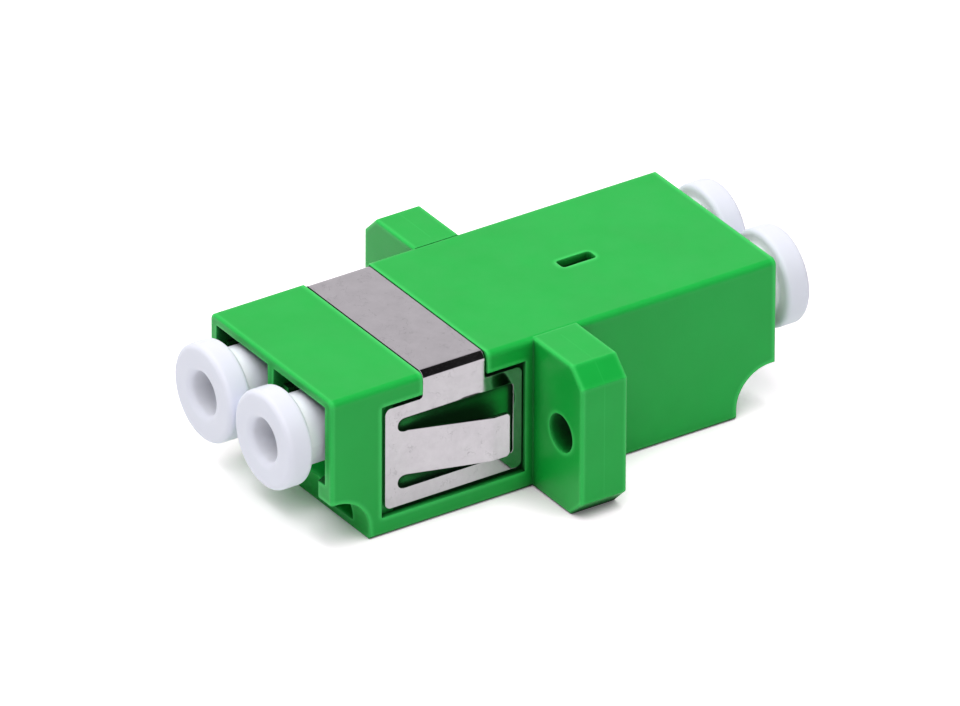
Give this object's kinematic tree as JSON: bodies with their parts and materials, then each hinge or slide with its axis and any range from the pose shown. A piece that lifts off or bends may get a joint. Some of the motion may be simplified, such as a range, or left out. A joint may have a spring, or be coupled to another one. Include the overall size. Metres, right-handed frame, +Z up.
{
  "type": "lc duplex fibre adapter",
  "caption": "Flanged side-by-side fibre connector adapter with a sprung steel panel clip, split alignment sleeves and a removable dust plug in each port.",
  "frame": {"origin": "on the underside, under the middle of the body", "axes": "+X across the ports to the right seen from the front, +Y along the fibres from front to rear, +Z up"},
  "size_m": [0.0222, 0.0352, 0.0096],
  "materials": {
    "green_plastic": "satin moulded plastic",
    "ceramic": "polished white ceramic",
    "spring_steel": "bright rolled sheet",
    "white_plastic": "soft translucent white"
  },
  "bodies": {
    "adapter": {"housing": "green_plastic", "sleeve_retainer": "green_plastic", "sleeve_left": "ceramic", "sleeve_right": "ceramic", "panel_clip": "spring_steel"},
    "plug_front_left": {"dust_plug_front_left": "white_plastic"},
    "plug_front_right": {"dust_plug_front_right": "white_plastic"},
    "plug_rear_left": {"dust_plug_rear_left": "white_plastic"},
    "plug_rear_right": {"dust_plug_rear_right": "white_plastic"}
  },
  "joints": [
    {"name": "front_left_pull", "type": "slide", "parent": "adapter", "child": "plug_front_left", "axis": [0, -1, 0], "range_m": [0, 0.012]},
    {"name": "front_right_pull", "type": "slide", "parent": "adapter", "child": "plug_front_right", "axis": [0, -1, 0], "range_m": [0, 0.012]},
    {"name": "rear_left_pull", "type": "slide", "parent": "adapter", "child": "plug_rear_left", "axis": [0, 1, 0], "range_m": [0, 0.012]},
    {"name": "rear_right_pull", "type": "slide", "parent": "adapter", "child": "plug_rear_right", "axis": [0, 1, 0], "range_m": [0, 0.012]}
  ]
}
